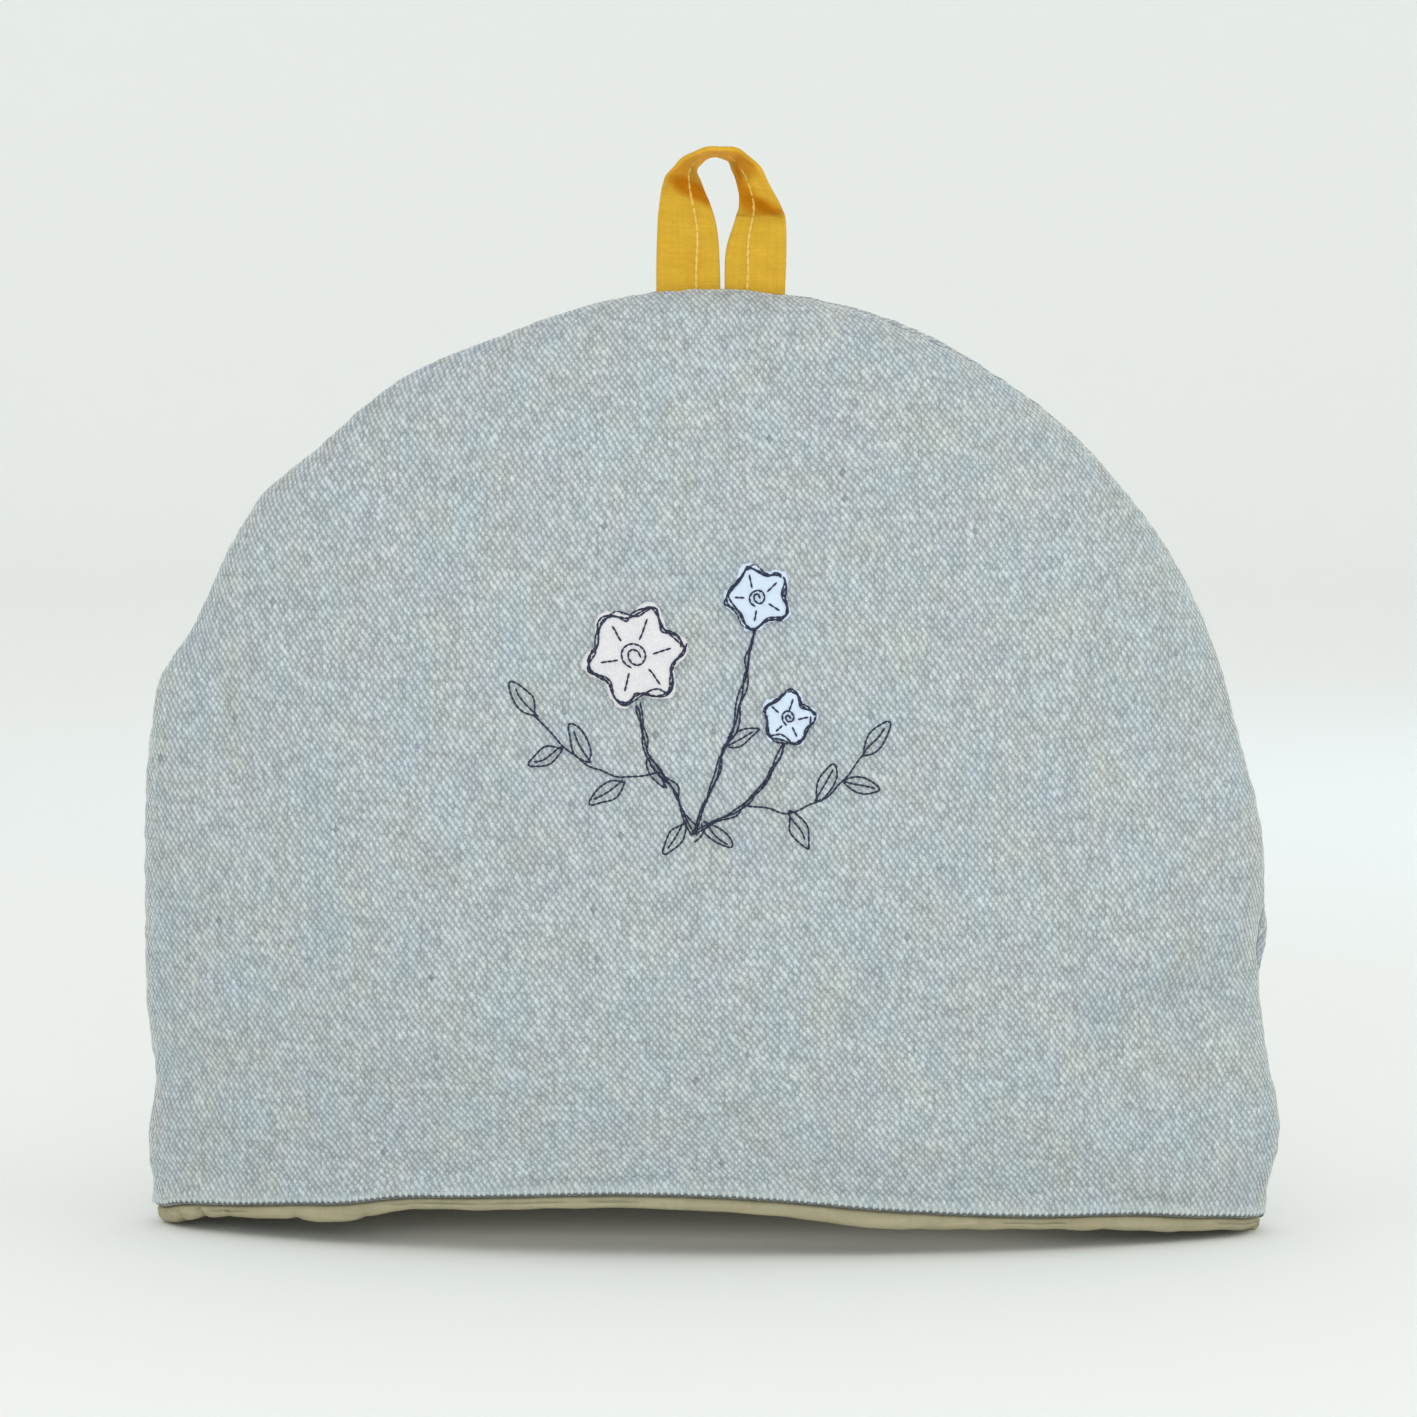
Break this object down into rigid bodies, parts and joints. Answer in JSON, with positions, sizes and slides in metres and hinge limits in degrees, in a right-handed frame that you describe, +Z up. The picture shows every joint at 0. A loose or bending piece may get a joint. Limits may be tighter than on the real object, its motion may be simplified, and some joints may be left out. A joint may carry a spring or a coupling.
{
  "type": "tea cosy",
  "caption": "Curved-top tea cosy of blue-grey wool cloth with a khaki lining, a yellow tape hanging loop and applied flowers.",
  "frame": {"origin": "on the table, under the middle of the cosy", "axes": "+X to the right as the front is faced, -Y out of the front, +Z up through the hanging loop"},
  "size_m": [0.3412, 0.1239, 0.3249],
  "materials": {
    "wool_cloth": "matt plain weave, blue-grey with pale cream flecks",
    "lining_cloth": "matt khaki plain weave",
    "tape": "yellow tape with a faint sheen",
    "patch_cream": "off-white plain weave",
    "patch_blue": "pale blue plain weave",
    "thread_navy": "navy sewing thread",
    "thread_cream": "pale yellow sewing thread"
  },
  "bodies": {
    "root": {"front_panel": "wool_cloth", "back_panel": "wool_cloth", "lining_front": "lining_cloth", "lining_back": "lining_cloth", "hanging_loop": "tape", "flower_cream": "patch_cream", "flower_blue_upper": "patch_blue", "flower_blue_lower": "patch_blue"}
  },
  "joints": []
}
